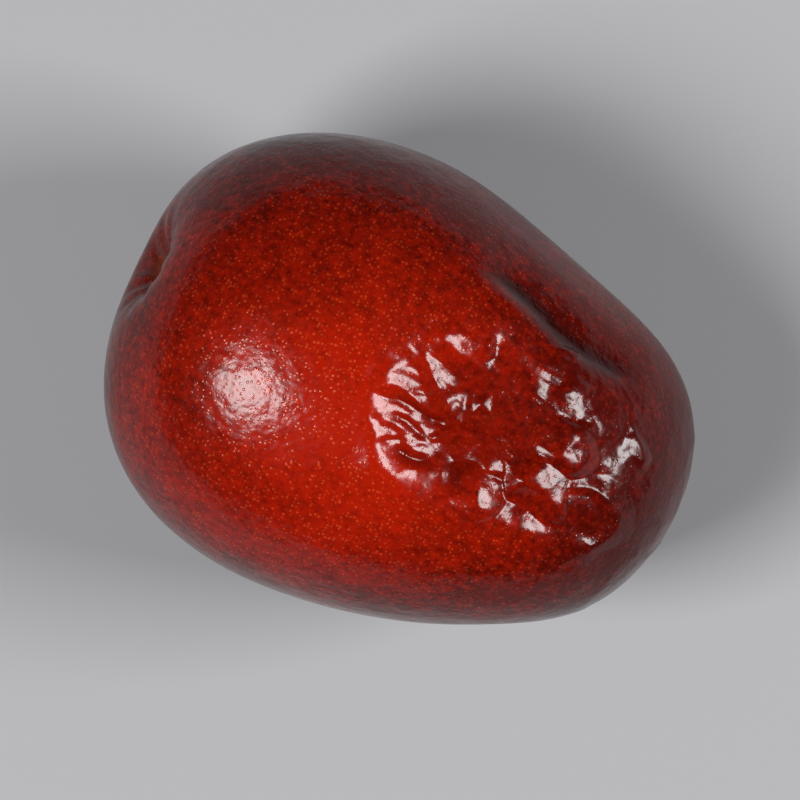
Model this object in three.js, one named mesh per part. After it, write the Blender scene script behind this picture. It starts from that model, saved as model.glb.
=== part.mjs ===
// Dried jujube, a red date lying on its side.
// Millimetres. The stem end is at -X and the tip at +X, Z points up, and Z = 0 is the flat spot it rests on.
// One closed skin: an egg-like body, raised and lowered along its normals by the sunken side,
// its folds and creases, the long groove beside it, the wrinkles underneath and the cavity of the stem.
import * as THREE from 'three';
import { mergeVertices } from 'three/addons/utils/BufferGeometryUtils.js';

// Body
const LENGTH = 42.2;
const WIDTH = 33.0;
const HEIGHT = 30.4;
const ROUNDNESS = 2.25; // exponent of the profile: 2 is an ellipse, more is fuller
const BREADTH = [0.975, -0.125, 0.03]; // a, b, c: breadth a + b x + c x x at a share x of the half length
const REST_TILT = 3.0; // degrees, the tip lies a little lower than the stem end
const FLAT_DEPTH = 0.55; // how much of the underside the flat spot takes away

// Places where the body is fuller or flatter: azimuth, elevation and reach in degrees, rise in mm
const SWELLS = [
  [-55, 0, 34, -1.4],
  [-50, 0, 9, -0.35],
  [72, 10, 24, -0.75],
  [44, 5, 20, 0.85],
  [-12, 0, 22, -0.4],
  [157, 0, 20, 0.6],
  [95, 0, 18, 0.25],
];

// Sunken side: its middle, half length, half widths towards the groove and away from it, and turn in degrees
const SUNK = { x: 7.0, y: 1.8, halfLength: 10.6, halfWidths: [6.5, 7.0], turn: 16 };
const SUNK_DEPTH = 2.1;
const SUNK_EASE = 0.95; // share of the depth lost towards the tip and the groove
const SUNK_WALLS = [0.22, 0.44]; // slope of the wall towards the groove and away from it
const SUNK_RAMP = [0.39, 0.31, 1.4]; // a, b, c of the depth a x + b y + c of the ramp nearest to the stem end
const SUNK_ROUND = 0.1; // how softly wall, ramp and floor meet

// Hollows in it: x, y, reach, depth
const HOLLOWS = [
  [10.3, -1.9, 1.2, 0.5],
  [3.4, 5.0, 1.6, 0.15],
  [14.0, 1.8, 1.2, 0.25],
  [8.4, 3.2, 1.8, 0.15],
];

// Its folds, seen from above: points of the crest, rise at its start and end, slope on its left and right
const FOLDS = [
  { crest: [[-3.1, 0.1], [-1.9, 0.9], [-0.4, 0.9], [1.2, -0.1]], rise: [0.5, 0.4], slope: [0.27, 0.4] },
  { crest: [[-0.5, 3.4], [0.6, 2.5], [1.8, 1.6], [3.2, 0.8]], rise: [0.5, 0.5], slope: [0.3, 0.4] },
  { crest: [[-0.3, 5.0], [1.0, 5.2], [2.4, 4.9]], rise: [0.55, 0.1], slope: [0.3, 0.5] },
  { crest: [[2.5, 6.2], [3.6, 6.2]], rise: [0.35, 0.1], slope: [0.3, 0.45] },
  { crest: [[4.2, 2.6], [5.6, 2.4]], rise: [0.4, 0.05], slope: [0.2, 0.35] },
  { crest: [[2.6, -1.0], [4.2, -0.1], [6.1, 0.5], [8.2, 0.5]], rise: [0.35, 0.35], slope: [0.4, 0.45] },
  { crest: [[6.2, -1.9], [7.4, -1.25], [8.6, -0.5]], rise: [0.8, 0.1], slope: [0.35, 0.45] },
  { crest: [[6.3, -1.4], [6.6, -3.0], [7.4, -4.8]], rise: [0.9, 0.8], slope: [0.32, 0.5] },
  { crest: [[8.6, -0.5], [10.6, -1.0], [13.3, -2.0]], rise: [1.15, 0.3], slope: [0.3, 0.5] },
  { crest: [[12.8, 0.1], [15.2, 0.9], [16.6, -0.3], [15.3, -2.7]], rise: [0.3, 0.3], slope: [0.22, 0.35] },
  { crest: [[10.2, 1.0], [10.7, 2.6], [11.4, 4.4]], rise: [0.65, 0.65], slope: [0.45, 0.25] },
  { crest: [[9.0, 7.0], [10.0, 5.9], [10.9, 4.8]], rise: [0.35, 0.1], slope: [0.25, 0.2] },
  { crest: [[14.8, 5.8], [15.6, 5.2], [16.1, 4.2]], rise: [0.28, 0.28], slope: [0.35, 0.3] },
  { crest: [[5.2, 6.6], [6.9, 5.0], [7.6, 3.0]], rise: [0.15, 0.15], slope: [0.15, 0.2] },
  { crest: [[7.4, 8.6], [8.8, 9.0]], rise: [0.2, 0.2], slope: [0.4, 0.3] },
];
const CREST_ROUND = 0.1; // radius that rounds the crests
const KINK = 0.2; // how far folds and creases stray from their lines

// Its creases: points, depth, half width
const CREASES = [
  { points: [[-2.4, -0.1], [0.0, 0.1], [1.8, 0.1], [3.2, -0.3]], depth: 0.3, width: 0.6 },
  { points: [[-1.6, -1.5], [0.8, -1.2], [2.6, -1.1]], depth: 0.18, width: 0.45 },
  { points: [[-2.6, -1.7], [-1.2, -2.1], [0.4, -2.2]], depth: 0.15, width: 0.4 },
  { points: [[-1.4, -3.1], [-0.2, -2.7], [1.0, -2.2]], depth: 0.12, width: 0.35 },
  { points: [[-0.4, -3.3], [1.6, -3.1], [3.8, -2.6]], depth: 0.35, width: 0.7 },
  { points: [[4.9, -1.5], [5.2, -3.0], [5.6, -4.2]], depth: 0.35, width: 0.9 },
];

// Places on it that lean more: x, y, reach, slope down towards the tip and towards the groove
const LEANS = [
  [-2.0, 1.4, 1.2, 0.08, 0.1],
  [0.5, 1.2, 1.0, -0.2, 0.12],
  [1.2, 2.9, 1.0, -0.18, 0.2],
  [2.5, 1.9, 0.9, -0.1, 0.12],
  [2.9, 6.3, 1.0, 0.55, 0.15],
  [1.5, -1.2, 0.8, -0.12, 0.12],
  [0.0, -4.0, 1.3, 0.25, 0.42],
  [2.0, -4.3, 1.2, 0.42, -0.06],
  [3.5, -4.2, 0.9, 0.35, -0.04],
  [7.4, -0.9, 0.9, 0.22, -0.15],
  [7.4, -3.1, 0.9, 0.07, -0.17],
  [9.3, -3.4, 0.9, 0.14, 0.02],
  [11.3, -2.7, 1.2, 0.38, 0.24],
  [10.6, -0.2, 1.0, 0.15, 0.2],
  [12.2, -0.7, 0.9, -0.15, 0.15],
  [11.8, 2.3, 1.0, -0.12, 0.3],
  [10.0, 6.0, 0.9, -0.15, -0.15],
  [10.8, 5.1, 0.9, -0.18, 0.0],
  [14.9, 4.3, 0.7, -0.25, -0.04],
  [15.3, -2.5, 0.9, -0.25, 0.4],
  [5.9, 7.6, 1.5, 0.0, 0.25],
  [13.2, 4.6, 1.3, 0.15, -0.15],
];

// Small ridges all over it: height, size, stretch along X, seed, width; lower near the tip
const RIDGES = [0.07, 2.2, 1.7, 5, 0.7];
const TIP_CALM = 0.6; // share of their height lost near the tip

// Long groove along the upper flank, seen from above, and its widths away from the sunken side and towards it
const GROOVE = [[-1.4, 11.2], [2.2, 11.2], [4.8, 10.6], [7.4, 9.8], [9.4, 9.5], [11.9, 9.4], [14.6, 9.2]];
const GROOVE_DEPTH = 0.62;
const GROOVE_WIDTHS = [2.0, 0.9];

// Wrinkles underneath and round the tip: long furrows, and ridges like the ones above
const FURROW = { height: 0.7, width: 1.1 };
const LOWER_RIDGES = [0.45, 4.2, 2.2, 9, 0.5];
const LOWER_SINK = 0.45; // how far the skin between them lies below the body
const TIP_SHARE = 0.1; // how strong they are round the tip

// Cavity of the stem, turned a little upwards, and dimple of the tip
const STEM = { y: 0.4, z: 3.2, reach: 2.5, depth: 2.5, puckers: 11, pucker: 0.1 };
const TIP = { y: 1.2, z: -0.8, reach: 1.5, depth: 0.3 };
const PUCKER_REACH = 1.3;

// Mesh
const DETAIL = 22; // rows of triangles in each face of the starting icosahedron, less one
const GATHER = 0.38; // how strongly the points are drawn towards the sunken side
const GATHER_AT = [0.36, 0.16, 0.92];

const DEGREE = Math.PI / 180;
const { clamp, smoothstep } = THREE.MathUtils;

// Even draws between 0 and 1 from a whole number
function draws(seed) {
  let state = seed >>> 0;
  return () => {
    state = (Math.imul(state, 1664525) + 1013904223) >>> 0;
    return state / 4294967296;
  };
}

// Plane waves whose sum swings about zero; stretch makes the swing longer along X
function waves(seed, count, wavelength, stretch = 1, spread = 0.3) {
  const next = draws(seed);
  const list = [];
  for (let i = 0; i < count; i++) {
    const z = 2 * next() - 1;
    const turn = 2 * Math.PI * next();
    const r = Math.sqrt(1 - z * z);
    const k = (2 * Math.PI) / (wavelength * (1 + spread * (2 * next() - 1)));
    const phase = 2 * Math.PI * next();
    list.push([(k * z) / stretch, k * r * Math.cos(turn), k * r * Math.sin(turn), phase]);
  }
  return list;
}

function swing(list, p) {
  let sum = 0;
  for (const [x, y, z, phase] of list) sum += Math.cos(x * p.x + y * p.y + z * p.z + phase);
  return sum * Math.sqrt(2 / list.length);
}

const DRIFT = [waves(11, 8, 9), waves(12, 8, 9), waves(13, 8, 9)];
const EDGE_DRIFT = waves(51, 8, 22);
const FURROWS = waves(21, 14, 11, 2.4);
const KINKS = [waves(61, 10, 4.5), waves(67, 10, 4.5)];

function drifted(p, amount) {
  const [a, b, c] = DRIFT.map((list) => amount * swing(list, p));
  return new THREE.Vector3(p.x + a, p.y + b, p.z + c);
}

function gauss(x) {
  return Math.exp(-x * x);
}

// A sharp crest where a swing passes through zero
function crest(value, width) {
  return Math.max(0, 1 - Math.sqrt((value / width) ** 2 + 0.0025)) ** 2;
}

// Scattered points, one to a cell of a grid; the ridges lie midway between the two nearest
function scatter(ix, iy, iz, seed) {
  const mixed = Math.imul(ix, 73856093) ^ Math.imul(iy, 19349663) ^ Math.imul(iz, 83492791);
  const next = draws(mixed ^ Math.imul(seed, 2654435761));
  next();
  return [ix + 0.1 + 0.8 * next(), iy + 0.1 + 0.8 * next(), iz + 0.1 + 0.8 * next()];
}

function ridges(p, [height, size, stretch, seed, width]) {
  const x = p.x / (size * stretch);
  const y = p.y / size;
  const z = p.z / size;
  const [ix, iy, iz] = [Math.floor(x), Math.floor(y), Math.floor(z)];
  let near = 9;
  let next = 9;
  for (let i = -1; i <= 1; i++) {
    for (let j = -1; j <= 1; j++) {
      for (let k = -1; k <= 1; k++) {
        const [a, b, c] = scatter(ix + i, iy + j, iz + k, seed);
        const far = Math.hypot(a - x, b - y, c - z);
        if (far < near) {
          next = near;
          near = far;
        } else if (far < next) {
          next = far;
        }
      }
    }
  }
  return height * Math.max(0, 1 - (next - near) / width) ** 1.5;
}

// A smooth line through points seen from above, as short straight runs
function line(points) {
  const curve = new THREE.CatmullRomCurve3(points.map(([x, y]) => new THREE.Vector3(x, y, 0)));
  return curve.getPoints(8 * (points.length - 1));
}

// Distance from (x, y) to a line, below 0 on its right, and the share of the line passed there
function beside(x, y, runs) {
  let best = Infinity;
  let share = 0;
  let side = 1;
  for (let i = 0; i < runs.length - 1; i++) {
    const a = runs[i];
    const dx = runs[i + 1].x - a.x;
    const dy = runs[i + 1].y - a.y;
    const t = clamp(((x - a.x) * dx + (y - a.y) * dy) / (dx * dx + dy * dy), 0, 1);
    const far = Math.hypot(x - a.x - t * dx, y - a.y - t * dy);
    if (far < best) {
      best = far;
      share = (i + t) / (runs.length - 1);
      side = dx * (y - a.y) < dy * (x - a.x) ? -1 : 1;
    }
  }
  return [best * side, share];
}

const groove = line(GROOVE);
const folds = FOLDS.map((fold) => ({ ...fold, runs: line(fold.crest) }));
const creases = CREASES.map((crease) => ({ ...crease, runs: line(crease.points) }));

// The smooth body under the relief, in one direction from its middle
function body(d) {
  const rho = Math.sqrt(Math.max(1 - d.x * d.x, 1e-12));
  const r = (Math.abs(d.x) ** ROUNDNESS + rho ** ROUNDNESS) ** (-1 / ROUNDNESS);
  const x = r * d.x;
  const across = r * (BREADTH[0] + BREADTH[1] * x + BREADTH[2] * x * x);
  const p = new THREE.Vector3((LENGTH / 2) * x, (WIDTH / 2) * across * d.y, (HEIGHT / 2) * across * d.z);
  let lift = 0;
  for (const [azimuth, elevation, reach, rise] of SWELLS) {
    const a = azimuth * DEGREE;
    const e = elevation * DEGREE;
    const centre = new THREE.Vector3(Math.cos(a) * Math.cos(e), Math.sin(a) * Math.cos(e), Math.sin(e));
    const away = Math.acos(clamp(d.dot(centre), -1, 1)) / DEGREE;
    lift += rise * gauss(away / reach);
  }
  return p.addScaledVector(d, lift);
}

// On the sunken side: the share of the way out to its rim, the distance in from it, and the side
function sunken(p) {
  const c = Math.cos(SUNK.turn * DEGREE);
  const s = Math.sin(SUNK.turn * DEGREE);
  const along = (p.x - SUNK.x) * c + (p.y - SUNK.y) * s;
  const across = (p.y - SUNK.y) * c - (p.x - SUNK.x) * s;
  const halfWidth = SUNK.halfWidths[across > 0 ? 0 : 1];
  const out = Math.hypot(along / SUNK.halfLength, across / halfWidth) + 0.04 * swing(EDGE_DRIFT, p);
  const half = clamp(Math.hypot(along, across) / Math.max(out, 0.01), SUNK.halfWidths[0], SUNK.halfLength);
  return [out, (1 - out) * half, across];
}

// Depth of the sunken side: the least of its wall, ramp and floor, softly joined, and 0 outside
function depth(p, inward, across) {
  const wall = inward * THREE.MathUtils.lerp(SUNK_WALLS[1], SUNK_WALLS[0], smoothstep(across, -3, 6));
  const ramp = SUNK_RAMP[0] * p.x + SUNK_RAMP[1] * p.y + SUNK_RAMP[2];
  const floor = SUNK_DEPTH * (1 - SUNK_EASE * smoothstep(p.x + 0.8 * Math.max(0, p.y - 1), 3, 14));
  const sum = [wall, ramp, floor].reduce((total, way) => total + Math.exp(-way / SUNK_ROUND), 0);
  return SUNK_ROUND * Math.log(1 + 1 / sum);
}

// Height of the folds and depth of the creases
function folded(p) {
  const x = p.x + KINK * swing(KINKS[0], p);
  const y = p.y + KINK * swing(KINKS[1], p);
  let fold = 0;
  for (const { runs, rise, slope } of folds) {
    const [far, share] = beside(x, y, runs);
    const ends = smoothstep(Math.min(share, 1 - share), -0.2, 0.3);
    const fall = (Math.hypot(far, CREST_ROUND) - CREST_ROUND) * slope[far > 0 ? 0 : 1];
    fold = Math.max(fold, (rise[0] + (rise[1] - rise[0]) * share) * ends - fall);
  }
  let crease = 0;
  for (const { runs, depth: deep, width } of creases) {
    const [far, share] = beside(x, y, runs);
    const ends = smoothstep(Math.min(share, 1 - share), 0, 0.3);
    crease = Math.max(crease, deep * ends * (1 - Math.abs(far) / width));
  }
  return fold - crease;
}

// A dimple in one end, with puckers running into it
function dimple(p, end) {
  const y = p.y - end.y;
  const z = p.z - end.z;
  const far = Math.hypot(y, z);
  let deep = end.depth * gauss(far / end.reach);
  if (end.puckers) {
    const ring = gauss((far - end.reach) / PUCKER_REACH);
    deep += end.pucker * ring * (1 + Math.cos(end.puckers * Math.atan2(z, y)));
  }
  return deep;
}

// Height of the relief above the body, along its normal
function relief(p) {
  const upper = smoothstep(p.z, 0, 5);
  const [out, inward, across] = sunken(p);
  const sunk = upper * (1 - smoothstep(out, 0.9, 1.05));
  const q = drifted(p, 0.8);

  let height = upper * (folded(p) - depth(p, inward, across));
  for (const [x, y, reach, deep] of HOLLOWS) {
    height -= sunk * deep * gauss(Math.hypot(p.x - x, p.y - y) / reach);
  }
  for (const [x, y, reach, toTip, toGroove] of LEANS) {
    const [dx, dy] = [p.x - x, p.y - y];
    height -= upper * (toTip * dx + toGroove * dy) * gauss(Math.hypot(dx, dy) / reach);
  }
  height += sunk * (1 - TIP_CALM * smoothstep(p.x, 10, 13)) * ridges(q, RIDGES);

  const under = (1 - smoothstep(p.z, -8, -1)) * smoothstep(p.z, -HEIGHT / 2 + 0.8, -HEIGHT / 2 + 3.5);
  const tip = TIP_SHARE * smoothstep(p.x, 14, 19.5) * (1 - sunk);
  const furrow = FURROW.height * crest(swing(FURROWS, q), FURROW.width);
  height += Math.max(under, tip) * (furrow + ridges(q, LOWER_RIDGES) - LOWER_SINK);

  const [far, share] = beside(p.x, p.y, groove);
  const fade = upper * smoothstep(share, 0, 0.2) * (1 - smoothstep(share, 0.75, 1));
  height -= fade * GROOVE_DEPTH * gauss(far / GROOVE_WIDTHS[far > 0 ? 0 : 1]);
  return height - dimple(p, p.x < 0 ? STEM : TIP);
}

function skin(d) {
  const p = body(d);
  const normal = new THREE.Vector3(p.x / LENGTH ** 2, p.y / WIDTH ** 2, p.z / HEIGHT ** 2).normalize();
  return p.addScaledVector(normal, relief(p));
}

// Points of a fine icosahedron, drawn towards the sunken side where the folds are small
const geometry = new THREE.IcosahedronGeometry(1, DETAIL);
geometry.deleteAttribute('normal');
geometry.deleteAttribute('uv');
const jujube = mergeVertices(geometry, 1e-5);
const position = jujube.getAttribute('position');
const centre = new THREE.Vector3(...GATHER_AT).normalize();
const tilt = new THREE.Matrix4().makeRotationY(REST_TILT * DEGREE);
const points = [];
for (let i = 0; i < position.count; i++) {
  const d = new THREE.Vector3().fromBufferAttribute(position, i).normalize();
  const away = d.angleTo(centre);
  const side = d.clone().addScaledVector(centre, -Math.cos(away));
  if (side.length() > 1e-6) {
    const drawn = away - GATHER * Math.sin(away);
    d.copy(centre).multiplyScalar(Math.cos(drawn)).addScaledVector(side.normalize(), Math.sin(drawn));
  }
  points.push(skin(d).applyMatrix4(tilt));
}

// Stand it on its flat spot, with the middle of its outline over the origin
const box = new THREE.Box3().setFromPoints(points);
const middle = box.getCenter(new THREE.Vector3());
points.forEach((p, i) => {
  const z = Math.max(0, p.z - box.min.z - FLAT_DEPTH);
  position.setXYZ(i, p.x - middle.x, p.y - middle.y, z);
});
jujube.computeVertexNormals();

const material = new THREE.MeshStandardMaterial({ color: 0x7a1608, roughness: 0.3, metalness: 0 });
const fruit = new THREE.Mesh(jujube, material);
fruit.name = 'jujube_fruit';

const group = new THREE.Group();
group.add(fruit);

export default group;
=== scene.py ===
import math

import bmesh
import bpy
import numpy as np
from mathutils import Matrix, Vector


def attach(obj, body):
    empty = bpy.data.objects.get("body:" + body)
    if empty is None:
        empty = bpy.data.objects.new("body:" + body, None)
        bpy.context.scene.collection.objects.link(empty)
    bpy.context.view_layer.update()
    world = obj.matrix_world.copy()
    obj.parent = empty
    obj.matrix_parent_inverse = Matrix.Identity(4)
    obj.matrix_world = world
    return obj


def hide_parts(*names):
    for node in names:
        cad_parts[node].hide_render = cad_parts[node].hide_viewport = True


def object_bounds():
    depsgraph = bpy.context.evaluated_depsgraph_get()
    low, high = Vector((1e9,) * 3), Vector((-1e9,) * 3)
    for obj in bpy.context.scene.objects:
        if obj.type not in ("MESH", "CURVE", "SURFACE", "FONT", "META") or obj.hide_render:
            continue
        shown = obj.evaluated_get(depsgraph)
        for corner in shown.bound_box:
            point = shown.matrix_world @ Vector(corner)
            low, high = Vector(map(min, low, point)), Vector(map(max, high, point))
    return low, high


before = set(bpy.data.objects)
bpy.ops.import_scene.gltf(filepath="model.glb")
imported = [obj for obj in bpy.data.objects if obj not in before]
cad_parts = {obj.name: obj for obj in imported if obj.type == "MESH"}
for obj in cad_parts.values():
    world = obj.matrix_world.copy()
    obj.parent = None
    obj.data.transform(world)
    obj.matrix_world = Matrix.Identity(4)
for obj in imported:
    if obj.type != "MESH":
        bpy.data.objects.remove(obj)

bl_info = {
    "name": "Dried jujube",
    "version": (1, 0, 0),
    "blender": (4, 5, 0),
    "location": "3D View > Sidebar > Jujube",
    "description": "Makes a dried jujube with a dotted, wrinkled skin, and a pale soft-lit stage",
    "category": "Add Mesh",
}

SOLID = "jujube_fruit"
BODY = "root"
MM = 0.001
CAD_LOW, CAD_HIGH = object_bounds()

# The form, in millimetres: the stem end at -X, the tip at +X, Z up from the middle of the body.
# The skin is moved to rest on its flat spot at the end.
ROUNDNESS = 2.25  # exponent of the profile: 2 is an ellipse, more is fuller
BREADTH = (0.975, -0.125, 0.03)  # a, b, c: breadth a + b x + c x x at a share x of the half length
REST_TILT = 3.0  # degrees, the tip lies a little lower than the stem end
FLAT_DEPTH = 0.55  # how much of the underside the flat spot takes away

# Places where it is fuller or flatter: azimuth, elevation and reach in degrees, rise
SWELLS = (
    (-55, 0, 34, -1.4),
    (-50, 0, 9, -0.35),
    (72, 10, 24, -0.75),
    (44, 5, 20, 0.85),
    (-12, 0, 22, -0.4),
    (157, 0, 20, 0.6),
    (95, 0, 18, 0.25),
)

UPPER_FROM = (0, 5)  # heights between which the relief of the upper side comes in

# The sunken side: its middle, half length, half widths to the groove's side and away from it, and
# its turn in degrees
SUNK_AT = (7.0, 1.8)
SUNK_HALF = (10.6, 6.5, 7.0)
SUNK_TURN = 16.0
SUNK_RIM = (0.9, 1.05)  # shares of the way out between which its small relief fades
RIM_SWING = 0.04  # how far its rim strays, as a share of the way out
SUNK_DEPTH = 2.1
SUNK_EASE = 0.95  # share of the depth lost towards the tip and the groove
SUNK_EASE_FROM = (3, 14)  # X between which it is lost
SUNK_EASE_SIDE = (0.8, 1)  # how much sooner for each millimetre of Y, from this Y on
SUNK_WALLS = (0.22, 0.44)  # slope of the wall on the groove's side and away from it
SUNK_WALLS_FROM = (-3, 6)  # distances across between which the one becomes the other
SUNK_RAMP = (0.39, 0.31, 1.4)  # a, b, c of the depth a x + b y + c nearest to the stem end
SUNK_ROUND = 0.1  # how softly wall, ramp and floor meet

# Hollows in it: x, y, reach, depth
HOLLOWS = (
    (10.3, -1.9, 1.2, 0.5),
    (3.4, 5.0, 1.6, 0.15),
    (14.0, 1.8, 1.2, 0.25),
    (8.4, 3.2, 1.8, 0.15),
)

# Its folds, seen from above: points of the crest, rise at the start and the end, and slope on the
# left and the right
FOLDS = (
    (((-3.1, 0.1), (-1.9, 0.9), (-0.4, 0.9), (1.2, -0.1)), 0.5, 0.4, 0.27, 0.4),
    (((-0.5, 3.4), (0.6, 2.5), (1.8, 1.6), (3.2, 0.8)), 0.5, 0.5, 0.3, 0.4),
    (((-0.3, 5.0), (1.0, 5.2), (2.4, 4.9)), 0.55, 0.1, 0.3, 0.5),
    (((2.5, 6.2), (3.6, 6.2)), 0.35, 0.1, 0.3, 0.45),
    (((4.2, 2.6), (5.6, 2.4)), 0.4, 0.05, 0.2, 0.35),
    (((2.6, -1.0), (4.2, -0.1), (6.1, 0.5), (8.2, 0.5)), 0.35, 0.35, 0.4, 0.45),
    (((6.2, -1.9), (7.4, -1.25), (8.6, -0.5)), 0.8, 0.1, 0.35, 0.45),
    (((6.3, -1.4), (6.6, -3.0), (7.4, -4.8)), 0.9, 0.8, 0.32, 0.5),
    (((8.6, -0.5), (10.6, -1.0), (13.3, -2.0)), 1.15, 0.3, 0.3, 0.5),
    (((12.8, 0.1), (15.2, 0.9), (16.6, -0.3), (15.3, -2.7)), 0.3, 0.3, 0.22, 0.35),
    (((10.2, 1.0), (10.7, 2.6), (11.4, 4.4)), 0.65, 0.65, 0.45, 0.25),
    (((9.0, 7.0), (10.0, 5.9), (10.9, 4.8)), 0.35, 0.1, 0.25, 0.2),
    (((14.8, 5.8), (15.6, 5.2), (16.1, 4.2)), 0.28, 0.28, 0.35, 0.3),
    (((5.2, 6.6), (6.9, 5.0), (7.6, 3.0)), 0.15, 0.15, 0.15, 0.2),
    (((7.4, 8.6), (8.8, 9.0)), 0.2, 0.2, 0.4, 0.3),
)
FOLD_ENDS = (-0.2, 0.3)  # shares of its length between which a fold rises at each end
CREST_ROUND = 0.1
KINK = 0.2  # how far folds and creases stray from their lines

# Its creases: points, depth, half width
CREASES = (
    (((-2.4, -0.1), (0.0, 0.1), (1.8, 0.1), (3.2, -0.3)), 0.3, 0.6),
    (((-1.6, -1.5), (0.8, -1.2), (2.6, -1.1)), 0.18, 0.45),
    (((-2.6, -1.7), (-1.2, -2.1), (0.4, -2.2)), 0.15, 0.4),
    (((-1.4, -3.1), (-0.2, -2.7), (1.0, -2.2)), 0.12, 0.35),
    (((-0.4, -3.3), (1.6, -3.1), (3.8, -2.6)), 0.35, 0.7),
    (((4.9, -1.5), (5.2, -3.0), (5.6, -4.2)), 0.35, 0.9),
)
CREASE_ENDS = (0, 0.3)

# Places on it that lean more: x, y, reach, slope down towards the tip and towards the groove
LEANS = (
    (-2.0, 1.4, 1.2, 0.08, 0.1),
    (0.5, 1.2, 1.0, -0.2, 0.12),
    (1.2, 2.9, 1.0, -0.18, 0.2),
    (2.5, 1.9, 0.9, -0.1, 0.12),
    (2.9, 6.3, 1.0, 0.55, 0.15),
    (1.5, -1.2, 0.8, -0.12, 0.12),
    (0.0, -4.0, 1.3, 0.25, 0.42),
    (2.0, -4.3, 1.2, 0.42, -0.06),
    (3.5, -4.2, 0.9, 0.35, -0.04),
    (7.4, -0.9, 0.9, 0.22, -0.15),
    (7.4, -3.1, 0.9, 0.07, -0.17),
    (9.3, -3.4, 0.9, 0.14, 0.02),
    (11.3, -2.7, 1.2, 0.38, 0.24),
    (10.6, -0.2, 1.0, 0.15, 0.2),
    (12.2, -0.7, 0.9, -0.15, 0.15),
    (11.8, 2.3, 1.0, -0.12, 0.3),
    (10.0, 6.0, 0.9, -0.15, -0.15),
    (10.8, 5.1, 0.9, -0.18, 0.0),
    (14.9, 4.3, 0.7, -0.25, -0.04),
    (15.3, -2.5, 0.9, -0.25, 0.4),
    (5.9, 7.6, 1.5, 0.0, 0.25),
    (13.2, 4.6, 1.3, 0.15, -0.15),
)

# Small ridges all over it, then crinkles finer than the solid's: height, size, stretch along X,
# seed, width
RIDGES = (0.07, 2.2, 1.7, 5, 0.7)
CRINKLES = ((0.045, 1.3, 1.7, 15, 0.6), (0.02, 0.7, 1.5, 17, 0.7))
TIP_CALM = 0.6  # share of their height lost near the tip
TIP_CALM_FROM = (10, 13)

# Long groove along the upper flank, seen from above, and its widths on the right and the left
GROOVE = ((-1.4, 11.2), (2.2, 11.2), (4.8, 10.6), (7.4, 9.8), (9.4, 9.5), (11.9, 9.4), (14.6, 9.2))
GROOVE_DEPTH = 0.62
GROOVE_WIDTHS = (0.9, 2.0)
GROOVE_FADES = ((0, 0.2), (0.75, 1))  # shares of its length where it comes in and fades

# Wrinkles underneath and round the tip: long furrows, and ridges like the ones above
FURROW_HEIGHT, FURROW_WIDTH = 0.7, 1.1
LOWER_RIDGES = (0.45, 4.2, 2.2, 9, 0.5)
LOWER_SINK = 0.45  # how far the skin between them lies below the body
LOWER_FROM = (-8, -1)  # heights between which they fade towards the top
FLAT_FROM = (0.8, 3.5)  # heights above the lowest point between which they come in
TIP_SHARE = 0.1  # how strong they are round the tip
TIP_FROM = (14, 19.5)
LOWER_CRINKLES = 0.9  # share of the crinkles on them

# Cavity of the stem, turned a little upwards, and dimple of the tip
STEM = {"y": 0.4, "z": 3.2, "reach": 2.5, "depth": 2.5, "puckers": 11, "pucker": 0.1}
TIP = {"y": 1.2, "z": -0.8, "reach": 1.5, "depth": 0.3, "puckers": 0, "pucker": 0.0}
PUCKER_REACH = 1.3

# Places stray by this much before ridges, furrows and crinkles are looked up
DRIFT_BY = 0.8

# Painted shade in the sunken side's low parts, between the wrinkles underneath, in the groove and
# round the tip
SUNK_DARK, SUNK_DARK_FROM = 0.3, (0.2, 1.2)
LOWER_DARK_FROM = (0.1, 0.6)
GROOVE_DARK, GROOVE_DARK_SHIFT, GROOVE_DARK_REACH = 1.2, 0.1, 0.7
# Painted shade towards the tip end
TIP_DARK, TIP_DARK_FROM = 0.75, (12.5, 20)

# Corky scars: Y, height above the flat spot, reach, and the end they are at; beyond this X only
SCARS = ((STEM["y"], 17.5, 1.0, -1), (TIP["y"], 12.5, 0.6, 1))
SCAR_FROM = 15

# Painted light and shade: the skin is painted warmest where it faces this way, on top towards the
# stem end, and deeper red as it turns away
PAINTED_LIGHT_AT = (-0.15, -0.28, 0.95)
PAINTED_LIGHT_FROM, PAINTED_LIGHT_FALL = 0.15, 1.7

# Mesh: cuts in each edge of the starting cube, and how strongly the points are drawn towards the
# sunken side
CUTS = 127
GATHER = 0.38
GATHER_AT = (0.36, 0.16, 0.92)

# Noises of the skin: scale, detail and roughness of each, and how far it swings
PATCHES, PATCHES_SWING = (170, 5, 0.65), 1.1
GRAIN, GRAIN_SWING = (1700, 3, 0.7), 1.7
GLOSS, GLOSS_SWING = (700, 3, 0.5), 0.16
PEBBLES = (((600, 2, 0.5), 2.9), ((2400, 2, 0.6), 0.3))

# Dots of the skin: radius as a share of the spacing, strength on warm and on deep red, and share
# lost on wrinkled skin
DOT_RADIUS = 0.44
DOT_STRENGTH = (0.44, 0.1)
DOT_LOSS = 0.6
DOT_RISE = 0.3
# Strength of the painted shade, and of the scars
PAINTED_SHADE_STRENGTH, SCAR_STRENGTH = 0.95, 0.85
SCAR_DULL = 0.4
BUMP_LOSS = 0.3  # share of the bumps lost on wrinkled skin
BUMP_HEIGHT = 0.00004
SKIN_IOR, SKIN_SPECULAR = 1.22, 1.0

# Stage: floor, soft boxes with the way that each one lies in as the camera sees it, and world
FLOOR_COLOUR, FLOOR_ROUGHNESS = (0.27, 0.27, 0.28), 0.9
BOXES = (("soft_box_left", (-0.573, -0.198, 0.796)), ("soft_box_right", (0.8, -0.03, 0.58)))
BOX_SIZE = (0.22, 0.24)
BOX_AWAY = 0.6
WORLD_COLOUR, WORLD_STRENGTH = (0.92, 0.95, 1, 1), 0.03


def draws(seed):
    """Even draws between 0 and 1 from a whole number."""
    state = seed % 2**32
    while True:
        state = (state * 1664525 + 1013904223) % 2**32
        yield state / 2**32


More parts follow.
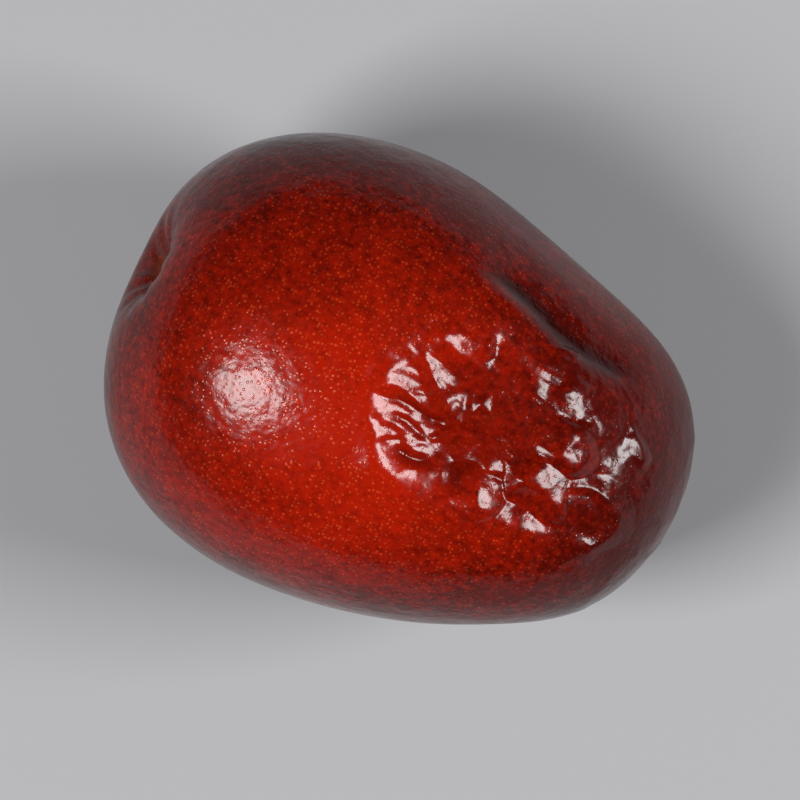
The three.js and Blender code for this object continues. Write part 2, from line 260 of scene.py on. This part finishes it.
def waves(seed, count, wavelength, stretch=1.0, spread=0.3):
    """Plane waves whose sum swings about zero; stretch makes the swing longer along X."""
    even = draws(seed)
    made = []
    for _ in range(count):
        z = 2 * next(even) - 1
        turn = 2 * math.pi * next(even)
        r = math.sqrt(1 - z * z)
        k = 2 * math.pi / (wavelength * (1 + spread * (2 * next(even) - 1)))
        phase = 2 * math.pi * next(even)
        made.append((k * z / stretch, k * r * math.cos(turn), k * r * math.sin(turn), phase))
    return made


def swing(made, p):
    """The sum of plane waves at each point."""
    total = np.zeros(len(p))
    for x, y, z, phase in made:
        total += np.cos(x * p[:, 0] + y * p[:, 1] + z * p[:, 2] + phase)
    return total * math.sqrt(2 / len(made))


def smoothstep(x, low, high):
    """A smooth step from 0 at low to 1 at high."""
    t = np.clip((x - low) / (high - low), 0, 1)
    return t * t * (3 - 2 * t)


def gauss(x):
    return np.exp(-x * x)


DRIFT = (waves(11, 8, 9), waves(12, 8, 9), waves(13, 8, 9))
EDGE_DRIFT = waves(51, 8, 22)
FURROWS = waves(21, 14, 11, 2.4)
KINKS = (waves(61, 10, 4.5), waves(67, 10, 4.5))


def drifted(p, amount):
    """Points that stray a little from their places."""
    return p + amount * np.stack([swing(made, p) for made in DRIFT], 1)


def crest(value, width):
    """A sharp crest where a swing passes through zero."""
    return np.maximum(0, 1 - np.sqrt((value / width) ** 2 + 0.0025)) ** 2


def scatter(cell, seed):
    """A point in each cell of a grid, the same for the same cell."""
    primes = np.array([73856093, 19349663, 83492791])
    state = np.bitwise_xor.reduce((cell * primes) % 2**32, axis=1)
    state = np.bitwise_xor(state, seed * 2654435761 % 2**32)
    out = []
    for _ in range(4):
        state = (state * 1664525 + 1013904223) % 2**32
        out.append(state / 2**32)
    return cell + 0.1 + 0.8 * np.stack(out[1:], 1)


def network(p, size, stretch, seed, width):
    """Crests midway between the two nearest of scattered points."""
    q = p / np.array([size * stretch, size, size])
    cell = np.floor(q).astype(np.int64)
    near = np.full(len(p), 9.0)
    second = np.full(len(p), 9.0)
    for i in (-1, 0, 1):
        for j in (-1, 0, 1):
            for k in (-1, 0, 1):
                far = np.linalg.norm(scatter(cell + np.array([i, j, k]), seed) - q, axis=1)
                second = np.minimum(second, np.maximum(near, far))
                near = np.minimum(near, far)
    return np.maximum(0, 1 - (second - near) / width) ** 1.5


def line(points):
    """A smooth line through points, as short straight runs (a centripetal Catmull-Rom curve)."""
    p = [np.array(q, float) for q in points]
    p = [2 * p[0] - p[1], *p, 2 * p[-1] - p[-2]]
    out = []
    count = 8 * (len(points) - 1)
    for step in range(count + 1):
        at = step / count * (len(points) - 1)
        i = min(int(at), len(points) - 2)
        t = at - i
        a, b, c, d = p[i : i + 4]
        ab, bc, cd = (math.sqrt(np.linalg.norm(v - u)) for u, v in ((a, b), (b, c), (c, d)))
        m1 = ((b - a) / ab - (c - a) / (ab + bc) + (c - b) / bc) * bc
        m2 = ((c - b) / bc - (d - b) / (bc + cd) + (d - c) / cd) * bc
        out.append(
            (2 * b - 2 * c + m1 + m2) * t**3 + (-3 * b + 3 * c - 2 * m1 - m2) * t**2 + m1 * t + b
        )
    return np.array(out)


def beside(x, y, runs):
    """Distance to a line seen from above, below 0 on its right, and the share passed there."""
    best = np.full(len(x), 1e9)
    share = np.zeros(len(x))
    side = np.ones(len(x))
    for i, (a, b) in enumerate(zip(runs[:-1], runs[1:])):
        d = b - a
        t = np.clip(((x - a[0]) * d[0] + (y - a[1]) * d[1]) / (d @ d), 0, 1)
        far = np.hypot(x - a[0] - t * d[0], y - a[1] - t * d[1])
        nearer = far < best
        best = np.where(nearer, far, best)
        share = np.where(nearer, (i + t) / (len(runs) - 1), share)
        turn = d[0] * (y - a[1]) - d[1] * (x - a[0])
        side = np.where(nearer, np.where(turn < 0, -1, 1), side)
    return best * side, share


def smooth_body(d, size):
    """The smooth body under the relief, in each direction from its middle."""
    rho = np.sqrt(np.maximum(1 - d[:, 0] ** 2, 1e-12))
    r = (np.abs(d[:, 0]) ** ROUNDNESS + rho**ROUNDNESS) ** (-1 / ROUNDNESS)
    x = r * d[:, 0]
    across = r * (BREADTH[0] + BREADTH[1] * x + BREADTH[2] * x * x)
    half = np.array(size) / 2
    p = np.stack([half[0] * x, half[1] * across * d[:, 1], half[2] * across * d[:, 2]], 1)
    lift = np.zeros(len(d))
    for azimuth, elevation, reach, rise in SWELLS:
        a, e = math.radians(azimuth), math.radians(elevation)
        centre = np.array([math.cos(a) * math.cos(e), math.sin(a) * math.cos(e), math.sin(e)])
        away = np.degrees(np.arccos(np.clip(d @ centre, -1, 1)))
        lift += rise * gauss(away / reach)
    return p + d * lift[:, None]


def sunken(p):
    """Share of the way out to the sunken side's rim, distance in from it, and distance across."""
    c, s = math.cos(math.radians(SUNK_TURN)), math.sin(math.radians(SUNK_TURN))
    x, y = p[:, 0] - SUNK_AT[0], p[:, 1] - SUNK_AT[1]
    along, across = x * c + y * s, y * c - x * s
    out = np.hypot(along / SUNK_HALF[0], across / np.where(across > 0, SUNK_HALF[1], SUNK_HALF[2]))
    out = out + RIM_SWING * swing(EDGE_DRIFT, p)
    half = np.clip(np.hypot(along, across) / np.maximum(out, 0.01), SUNK_HALF[1], SUNK_HALF[0])
    return out, (1 - out) * half, across


def dimple(p, end):
    """A dimple in one end, with puckers running into it."""
    y, z = p[:, 1] - end["y"], p[:, 2] - end["z"]
    far = np.hypot(y, z)
    depth = end["depth"] * gauss(far / end["reach"])
    ring = gauss((far - end["reach"]) / PUCKER_REACH)
    return depth + end["pucker"] * ring * (1 + np.cos(end["puckers"] * np.arctan2(z, y)))


def relief(p, height):
    """Height above the smooth body, with the shares of sunken and lower skin and of painted shade.
    """
    x, y, z = p.T
    upper = smoothstep(z, *UPPER_FROM)
    out, inward, across = sunken(p)
    sunk = upper * (1 - smoothstep(out, *SUNK_RIM))
    q = drifted(p, DRIFT_BY)
    turned = smoothstep(across, *SUNK_WALLS_FROM)
    wall = inward * (SUNK_WALLS[1] + (SUNK_WALLS[0] - SUNK_WALLS[1]) * turned)
    ramp = SUNK_RAMP[0] * x + SUNK_RAMP[1] * y + SUNK_RAMP[2]
    aside = SUNK_EASE_SIDE[0] * np.maximum(0, y - SUNK_EASE_SIDE[1])
    floor = SUNK_DEPTH * (1 - SUNK_EASE * smoothstep(x + aside, *SUNK_EASE_FROM))
    least = -SUNK_ROUND * np.log(sum(np.exp(-way / SUNK_ROUND) for way in (wall, ramp, floor)))
    hollow = upper * SUNK_ROUND * np.log(1 + np.exp(least / SUNK_ROUND))
    for at_x, at_y, reach, depth in HOLLOWS:
        hollow += sunk * depth * gauss(np.hypot(x - at_x, y - at_y) / reach)
    bent_x, bent_y = x + KINK * swing(KINKS[0], p), y + KINK * swing(KINKS[1], p)
    fold = np.zeros(len(p))
    for points, start, end, left, right in FOLDS:
        far, share = beside(bent_x, bent_y, line(points))
        ends = smoothstep(np.minimum(share, 1 - share), *FOLD_ENDS)
        fall = (np.sqrt(far * far + CREST_ROUND**2) - CREST_ROUND) * np.where(far > 0, left, right)
        fold = np.maximum(fold, (start + (end - start) * share) * ends - fall)
    crease = np.zeros(len(p))
    for points, depth, width in CREASES:
        far, share = beside(bent_x, bent_y, line(points))
        ends = smoothstep(np.minimum(share, 1 - share), *CREASE_ENDS)
        crease = np.maximum(crease, depth * ends * (1 - np.abs(far) / width))
    hollow += upper * crease
    h = upper * fold - hollow
    for at_x, at_y, reach, to_tip, to_groove in LEANS:
        away_x, away_y = x - at_x, y - at_y
        near = gauss(np.hypot(away_x, away_y) / reach)
        h -= upper * (to_tip * away_x + to_groove * away_y) * near
    fine = 1 - TIP_CALM * smoothstep(x, *TIP_CALM_FROM)
    h += sunk * fine * RIDGES[0] * network(q, *RIDGES[1:])

    under = (1 - smoothstep(z, *LOWER_FROM)) * smoothstep(z + height / 2, *FLAT_FROM)
    tip = TIP_SHARE * smoothstep(x, *TIP_FROM) * (1 - sunk)
    lower = np.maximum(under, tip)
    furrow = FURROW_HEIGHT * crest(swing(FURROWS, q), FURROW_WIDTH)
    h += lower * (furrow + LOWER_RIDGES[0] * network(q, *LOWER_RIDGES[1:]) - LOWER_SINK)

    far, share = beside(x, y, line(GROOVE))
    coming, going = GROOVE_FADES
    fade = upper * smoothstep(share, *coming) * (1 - smoothstep(share, *going))
    h -= fade * GROOVE_DEPTH * gauss(far / np.where(far > 0, GROOVE_WIDTHS[1], GROOVE_WIDTHS[0]))
    h -= np.where(x < 0, dimple(p, STEM), dimple(p, TIP))

    # Finer than the solid: crinkles on the folds and wrinkles
    rough = np.clip(fine * sunk + LOWER_CRINKLES * lower, 0, 1)
    h += rough * sum(rise * network(q, *rest) for rise, *rest in CRINKLES)

    # Painted shade in the sunken side's low parts and between the wrinkles underneath
    low = SUNK_DARK * sunk * smoothstep(-h, *SUNK_DARK_FROM)
    low += lower * smoothstep(-h, *LOWER_DARK_FROM)
    # Painted shade in the groove; with the creases and the low parts it makes up all the painted
    # shade
    groove_shade = GROOVE_DARK * fade * gauss((far + GROOVE_DARK_SHIFT) / GROOVE_DARK_REACH)
    painted_shade = np.clip(crease + groove_shade + low, 0, 1)
    return h, sunk, lower, painted_shade


def gathered(d):
    """Directions drawn towards the sunken side, where the folds are small."""
    centre = np.array(GATHER_AT) / np.linalg.norm(GATHER_AT)
    cosine = np.clip(d @ centre, -1, 1)
    away = np.arccos(cosine)
    side = d - cosine[:, None] * centre
    length = np.linalg.norm(side, axis=1)
    side /= np.maximum(length, 1e-9)[:, None]
    drawn = away - GATHER * np.sin(away)
    return np.cos(drawn)[:, None] * centre + np.sin(drawn)[:, None] * side


def fruit_form(d, size):
    """Every point of the skin in millimetres, with the shares of sunken and lower skin and of
    painted shade.
    """
    p = smooth_body(gathered(d), size)
    normal = p / np.array(size) ** 2
    normal /= np.linalg.norm(normal, axis=1)[:, None]
    h, sunk, lower, painted_shade = relief(p, size[2])
    p = p + normal * h[:, None]
    c, s = math.cos(math.radians(REST_TILT)), math.sin(math.radians(REST_TILT))
    x, z = p[:, 0] * c + p[:, 2] * s, p[:, 2] * c - p[:, 0] * s
    z = np.maximum(0, z - z.min() - FLAT_DEPTH)
    x -= (x.min() + x.max()) / 2
    y = p[:, 1] - (p[:, 1].min() + p[:, 1].max()) / 2
    return np.stack([x, y, z], 1), sunk, lower, painted_shade


class JujubeForm(bpy.types.PropertyGroup):
    """The fruit's size, before the relief is added and the flat spot taken off."""

    length: bpy.props.FloatProperty(
        name="Length", description="Stem end to tip", default=0.0422, min=0.01,
        subtype="DISTANCE", unit="LENGTH",
    )
    width: bpy.props.FloatProperty(
        name="Width", description="Across at the widest", default=0.033, min=0.01,
        subtype="DISTANCE", unit="LENGTH",
    )
    height: bpy.props.FloatProperty(
        name="Height", description="Flat spot to top", default=0.0304, min=0.01,
        subtype="DISTANCE", unit="LENGTH",
    )


class JujubeSkin(bpy.types.PropertyGroup):
    """The skin's colours, dots and gloss, and the colour of its painted shade."""

    deep: bpy.props.FloatVectorProperty(
        name="Deep red", description="Most of the skin", default=(0.055, 0.0014, 0.0002),
        size=3, subtype="COLOR",
    )
    # Reached in lighter patches, and where light is painted on top
    warm: bpy.props.FloatVectorProperty(
        name="Warm red", description="Lighter patches", default=(0.255, 0.0062, 0.0006),
        size=3, subtype="COLOR",
    )
    # Colour of the painted shade in folds, creases, the groove and towards the tip
    painted_shade: bpy.props.FloatVectorProperty(
        name="Dark folds", description="Bottoms of folds", default=(0.02, 0.0008, 0.0004),
        size=3, subtype="COLOR",
    )
    dot: bpy.props.FloatVectorProperty(
        name="Dots", description="Small light dots", default=(0.48, 0.062, 0.013),
        size=3, subtype="COLOR",
    )
    scar: bpy.props.FloatVectorProperty(
        name="Scars", description="Dry corky marks", default=(0.10, 0.03, 0.012),
        size=3, subtype="COLOR",
    )
    spacing: bpy.props.FloatProperty(
        name="Dot spacing", description="From dot to dot", default=0.00028, min=0.0002,
        subtype="DISTANCE", unit="LENGTH",
    )
    roughness: bpy.props.FloatProperty(
        name="Roughness", description="0 is a mirror", default=0.2, min=0.0, max=1.0,
        subtype="FACTOR",
    )


class JujubeStage(bpy.types.PropertyGroup):
    """The floor, the lights and the camera."""

    view_width: bpy.props.FloatProperty(
        name="View width", description="Width of the picture at the fruit", default=0.0565,
        min=0.01, unit="LENGTH",
    )
    camera_height: bpy.props.FloatProperty(
        name="Camera height", description="Above the floor", default=0.6, min=0.1, unit="LENGTH"
    )
    camera_turn: bpy.props.FloatProperty(
        name="Camera turn", description="About the vertical", default=math.radians(28),
        subtype="ANGLE", unit="ROTATION",
    )
    light_power: bpy.props.FloatProperty(
        name="Light power", description="Of each soft box", default=4.5, min=0.0, unit="POWER"
    )
    floor_size: bpy.props.FloatProperty(
        name="Floor size", description="Side of the floor", default=3.0, min=0.5, unit="LENGTH"
    )


def group_tree(name, inputs, outputs):
    """An empty shader node group with named sockets, and its two end nodes."""
    tree = bpy.data.node_groups.new(name, "ShaderNodeTree")
    for label, kind in inputs:
        tree.interface.new_socket(label, in_out="INPUT", socket_type=kind)
    for label, kind in outputs:
        tree.interface.new_socket(label, in_out="OUTPUT", socket_type=kind)
    return tree, tree.nodes.new("NodeGroupInput"), tree.nodes.new("NodeGroupOutput")


def maths(tree, kind, a, b=None, c=None, clamp=False):
    """A Math node; each input is a number or another node's output."""
    node = tree.nodes.new("ShaderNodeMath")
    node.operation = kind
    node.use_clamp = clamp
    for socket, value in zip(node.inputs, (a, b, c)):
        if isinstance(value, bpy.types.NodeSocket):
            tree.links.new(value, socket)
        elif value is not None:
            socket.default_value = value
    return node.outputs[0]


def eased(tree, value, low, high):
    """A smooth step from 0 at low to 1 at high."""
    node = tree.nodes.new("ShaderNodeMapRange")
    node.interpolation_type = "SMOOTHSTEP"
    tree.links.new(value, node.inputs["Value"])
    for label, number in (("From Min", low), ("From Max", high)):
        if isinstance(number, bpy.types.NodeSocket):
            tree.links.new(number, node.inputs[label])
        else:
            node.inputs[label].default_value = number
    return node.outputs["Result"]


def mixed(tree, factor, a, b):
    """A colour between a and b."""
    node = tree.nodes.new("ShaderNodeMix")
    node.data_type = "RGBA"
    for socket, value in zip((node.inputs[0], node.inputs[6], node.inputs[7]), (factor, a, b)):
        if isinstance(value, bpy.types.NodeSocket):
            tree.links.new(value, socket)
        elif isinstance(value, (int, float)):
            socket.default_value = value
        else:
            socket.default_value = (*value, 1)
    return node.outputs[2]


def noise(tree, vector, scale, detail, rough):
    """Noise between 0 and 1."""
    node = tree.nodes.new("ShaderNodeTexNoise")
    tree.links.new(vector, node.inputs["Vector"])
    node.inputs["Scale"].default_value = scale
    node.inputs["Detail"].default_value = detail
    node.inputs["Roughness"].default_value = rough
    return node.outputs["Fac"]


def dots_group():
    """Small round dots, one to a cell, of uneven strength."""
    tree, start, end = group_tree(
        "small_dots",
        [
            ("Vector", "NodeSocketVector"),
            ("Scale", "NodeSocketFloat"),
            ("Radius", "NodeSocketFloat"),
        ],
        [("Mask", "NodeSocketFloat")],
    )
    cells = tree.nodes.new("ShaderNodeTexVoronoi")
    tree.links.new(start.outputs["Vector"], cells.inputs["Vector"])
    tree.links.new(start.outputs["Scale"], cells.inputs["Scale"])
    cells.inputs["Randomness"].default_value = 0.85
    radius = start.outputs["Radius"]
    inner = maths(tree, "MULTIPLY", radius, 0.35)
    disc = maths(tree, "SUBTRACT", 1.0, eased(tree, cells.outputs["Distance"], inner, radius))
    apart = tree.nodes.new("ShaderNodeSeparateColor")
    tree.links.new(cells.outputs["Color"], apart.inputs["Color"])
    strength = eased(tree, apart.outputs["Red"], 0.1, 0.9)
    tree.links.new(maths(tree, "MULTIPLY", disc, strength), end.inputs["Mask"])
    return tree


def placed(tree, group, **values):
    """A group's node, with numbers or other nodes' outputs in its sockets."""
    node = tree.nodes.new("ShaderNodeGroup")
    node.node_tree = group
    for label, value in values.items():
        socket = node.inputs[label.capitalize()]
        if isinstance(value, bpy.types.NodeSocket):
            tree.links.new(value, socket)
        else:
            socket.default_value = value
    return node


def skin_material(look):
    """Dark red dried skin: light dots, painted light and shade, corky scars and a fine pebbled
    gloss.
    """
    material = bpy.data.materials.new("dried_red_skin")
    material.use_nodes = True
    tree = material.node_tree
    shader = tree.nodes["Principled BSDF"]
    place = tree.nodes.new("ShaderNodeTexCoord").outputs["Object"]

    def attribute(name):
        node = tree.nodes.new("ShaderNodeAttribute")
        node.attribute_name = name
        return node.outputs["Fac"]

    # Of these, the attribute named for hollows holds painted shade, and the last holds painted
    # light and shade from the way the skin faces
    rough, low, scar, warm = (attribute(name) for name in ("wrinkled", "hollow", "scar", "painted_light"))

    patches, grain = (
        maths(tree, "MULTIPLY_ADD", noise(tree, place, *texture), swing_by, -swing_by / 2)
        for texture, swing_by in ((PATCHES, PATCHES_SWING), (GRAIN, GRAIN_SWING))
    )
    # Painted light on top and down the sides, with patches and grain of random tone
    tone = maths(tree, "ADD", maths(tree, "ADD", warm, patches), grain, clamp=True)
    colour = mixed(tree, tone, look.deep, look.warm)
    group = dots_group()
    dots = placed(tree, group, vector=place, scale=1 / look.spacing, radius=DOT_RADIUS)
    dots = dots.outputs["Mask"]
    clear = maths(tree, "SUBTRACT", 1.0, maths(tree, "MULTIPLY", rough, DOT_LOSS))
    spread = maths(tree, "MULTIPLY", clear, maths(tree, "MULTIPLY_ADD", tone, *DOT_STRENGTH))
    colour = mixed(tree, maths(tree, "MULTIPLY", dots, spread), colour, look.dot)
    # Painted shade in folds, creases, the groove and towards the tip
    colour = mixed(tree, maths(tree, "MULTIPLY", low, PAINTED_SHADE_STRENGTH), colour, look.painted_shade)
    colour = mixed(tree, maths(tree, "MULTIPLY", scar, SCAR_STRENGTH), colour, look.scar)
    tree.links.new(colour, shader.inputs["Base Color"])

    least = look.roughness - GLOSS_SWING / 2
    gloss = maths(tree, "MULTIPLY_ADD", noise(tree, place, *GLOSS), GLOSS_SWING, least)
    tree.links.new(maths(tree, "MULTIPLY_ADD", scar, SCAR_DULL, gloss), shader.inputs["Roughness"])

    (coarse, coarse_rise), (fine, fine_rise) = PEBBLES
    pebble = maths(tree, "MULTIPLY", noise(tree, place, *fine), fine_rise)
    pebble = maths(tree, "MULTIPLY_ADD", noise(tree, place, *coarse), coarse_rise, pebble)
    smooth = maths(tree, "MULTIPLY_ADD", rough, -BUMP_LOSS, 1.0)
    bumps = maths(tree, "MULTIPLY", smooth, maths(tree, "MULTIPLY_ADD", dots, DOT_RISE, pebble))
    bump = tree.nodes.new("ShaderNodeBump")
    bump.inputs["Strength"].default_value = 1.0
    bump.inputs["Distance"].default_value = BUMP_HEIGHT
    tree.links.new(bumps, bump.inputs["Height"])
    tree.links.new(bump.outputs["Normal"], shader.inputs["Normal"])
    shader.inputs["IOR"].default_value = SKIN_IOR
    shader.inputs["Specular IOR Level"].default_value = SKIN_SPECULAR
    return material


def plain_material(name, colour, roughness):
    """A material of one colour."""
    material = bpy.data.materials.new(name)
    material.use_nodes = True
    shader = material.node_tree.nodes["Principled BSDF"]
    shader.inputs["Base Color"].default_value = (*colour, 1)
    shader.inputs["Roughness"].default_value = roughness
    return material


def as_object(name, bm, material):
    """The bmesh as an object at the origin."""
    mesh = bpy.data.meshes.new(name)
    bm.to_mesh(mesh)
    bm.free()
    mesh.materials.append(material)
    piece = bpy.data.objects.new(name, mesh)
    bpy.context.scene.collection.objects.link(piece)
    return piece


class JUJUBE_OT_fruit(bpy.types.Operator):
    """Make the fruit: a fine closed skin with its folds, groove, wrinkles and scars"""

    bl_idname = "jujube.fruit"
    bl_label = "Make the fruit"

    def execute(self, context):
        form = context.scene.jujube_form
        size = [side / MM for side in (form.length, form.width, form.height)]
        bm = bmesh.new()
        bmesh.ops.create_cube(bm, size=2.0)
        bmesh.ops.subdivide_edges(bm, edges=bm.edges[:], cuts=CUTS, use_grid_fill=True)
        piece = as_object("jujube_skin", bm, skin_material(context.scene.jujube_skin))
        mesh = piece.data
        cube = np.empty(len(mesh.vertices) * 3)
        mesh.vertices.foreach_get("co", cube)
        even = np.tan(cube.reshape(-1, 3) * math.pi / 4)
        p, sunk, lower, painted_shade = fruit_form(even / np.linalg.norm(even, axis=1)[:, None], size)
        mesh.vertices.foreach_set("co", (p * MM).ravel())

        scar = sum(
            gauss(np.hypot(p[:, 1] - y, p[:, 2] - z) / reach) * (end * p[:, 0] > SCAR_FROM)
            for y, z, reach, end in SCARS
        )
        # Painted light and shade: warmest where the skin faces up towards the stem end, deeper red
        # down the sides
        facing = p - np.array([0, 0, size[2] / 2])
        facing /= np.linalg.norm(facing, axis=1)[:, None]
        warm = np.clip((facing @ PAINTED_LIGHT_AT - PAINTED_LIGHT_FROM) / (1 - PAINTED_LIGHT_FROM), 0, 1) ** PAINTED_LIGHT_FALL
        # Painted shade towards the tip
        painted_shade = np.maximum(painted_shade, TIP_DARK * smoothstep(p[:, 0], *TIP_DARK_FROM))
        wrinkled = np.maximum(sunk, lower)
        shares = {"wrinkled": wrinkled, "hollow": painted_shade, "scar": scar, "painted_light": warm}
        for name, values in shares.items():
            layer = mesh.attributes.new(name, "FLOAT", "POINT")
            layer.data.foreach_set("value", values.astype(np.float32))
        mesh.polygons.foreach_set("use_smooth", [True] * len(mesh.polygons))
        mesh.update()
        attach(piece, BODY)
        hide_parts(SOLID)
        return {"FINISHED"}


class JUJUBE_OT_stage(bpy.types.Operator):
    """Set the floor, two soft boxes, a little light from all round, and the camera above"""

    bl_idname = "jujube.stage"
    bl_label = "Set the stage"

    def execute(self, context):
        stage = context.scene.jujube_stage
        bm = bmesh.new()
        bmesh.ops.create_grid(bm, x_segments=1, y_segments=1, size=stage.floor_size / 2)
        pale = plain_material("pale_floor", FLOOR_COLOUR, FLOOR_ROUGHNESS)
        floor = as_object("floor", bm, pale)

        turn = stage.camera_turn
        for name, seen in BOXES:
            data = bpy.data.lights.new(name, "AREA")
            data.shape = "RECTANGLE"
            data.size, data.size_y = BOX_SIZE
            data.energy = stage.light_power
            box = bpy.data.objects.new(name, data)
            context.scene.collection.objects.link(box)
            away = Matrix.Rotation(turn, 3, "Z") @ Vector(seen).normalized()
            box.location = away * BOX_AWAY
            box.rotation_mode = "QUATERNION"
            box.rotation_quaternion = away.to_track_quat("Z", "Y")
            box.visible_camera = False

        world = bpy.data.worlds.new("studio")
        world.use_nodes = True
        background = world.node_tree.nodes["Background"]
        background.inputs["Color"].default_value = WORLD_COLOUR
        background.inputs["Strength"].default_value = WORLD_STRENGTH
        context.scene.world = world

        data = bpy.data.cameras.new("camera")
        camera = bpy.data.objects.new("camera", data)
        context.scene.collection.objects.link(camera)
        middle = CAD_HIGH.z / 2
        data.lens = data.sensor_width * (stage.camera_height - middle) / stage.view_width
        camera.location = (0, 0, stage.camera_height)
        camera.rotation_euler = (0, 0, turn)
        context.scene.camera = camera
        context.scene.view_settings.view_transform = "Standard"
        return {"FINISHED"}


class JUJUBE_PT_panel(bpy.types.Panel):
    """The fruit and its stage, in the 3D view's sidebar"""

    bl_idname = "JUJUBE_PT_panel"
    bl_label = "Dried jujube"
    bl_space_type = "VIEW_3D"
    bl_region_type = "UI"
    bl_category = "Jujube"

    def draw(self, context):
        for settings in ("jujube_form", "jujube_skin", "jujube_stage"):
            group = getattr(context.scene, settings)
            for name in group.__annotations__:
                self.layout.prop(group, name)
        self.layout.operator(JUJUBE_OT_fruit.bl_idname)
        self.layout.operator(JUJUBE_OT_stage.bl_idname)


SETTINGS = (("jujube_form", JujubeForm), ("jujube_skin", JujubeSkin), ("jujube_stage", JujubeStage))
CLASSES = (JujubeForm, JujubeSkin, JujubeStage, JUJUBE_OT_fruit, JUJUBE_OT_stage, JUJUBE_PT_panel)


def register():
    for cls in CLASSES:
        bpy.utils.register_class(cls)
    for name, group in SETTINGS:
        setattr(bpy.types.Scene, name, bpy.props.PointerProperty(type=group))


def unregister():
    for name, _ in SETTINGS:
        delattr(bpy.types.Scene, name)
    for cls in reversed(CLASSES):
        bpy.utils.unregister_class(cls)


def main():
    register()
    bpy.ops.jujube.fruit()
    bpy.ops.jujube.stage()


if __name__ == "__main__":
    main()
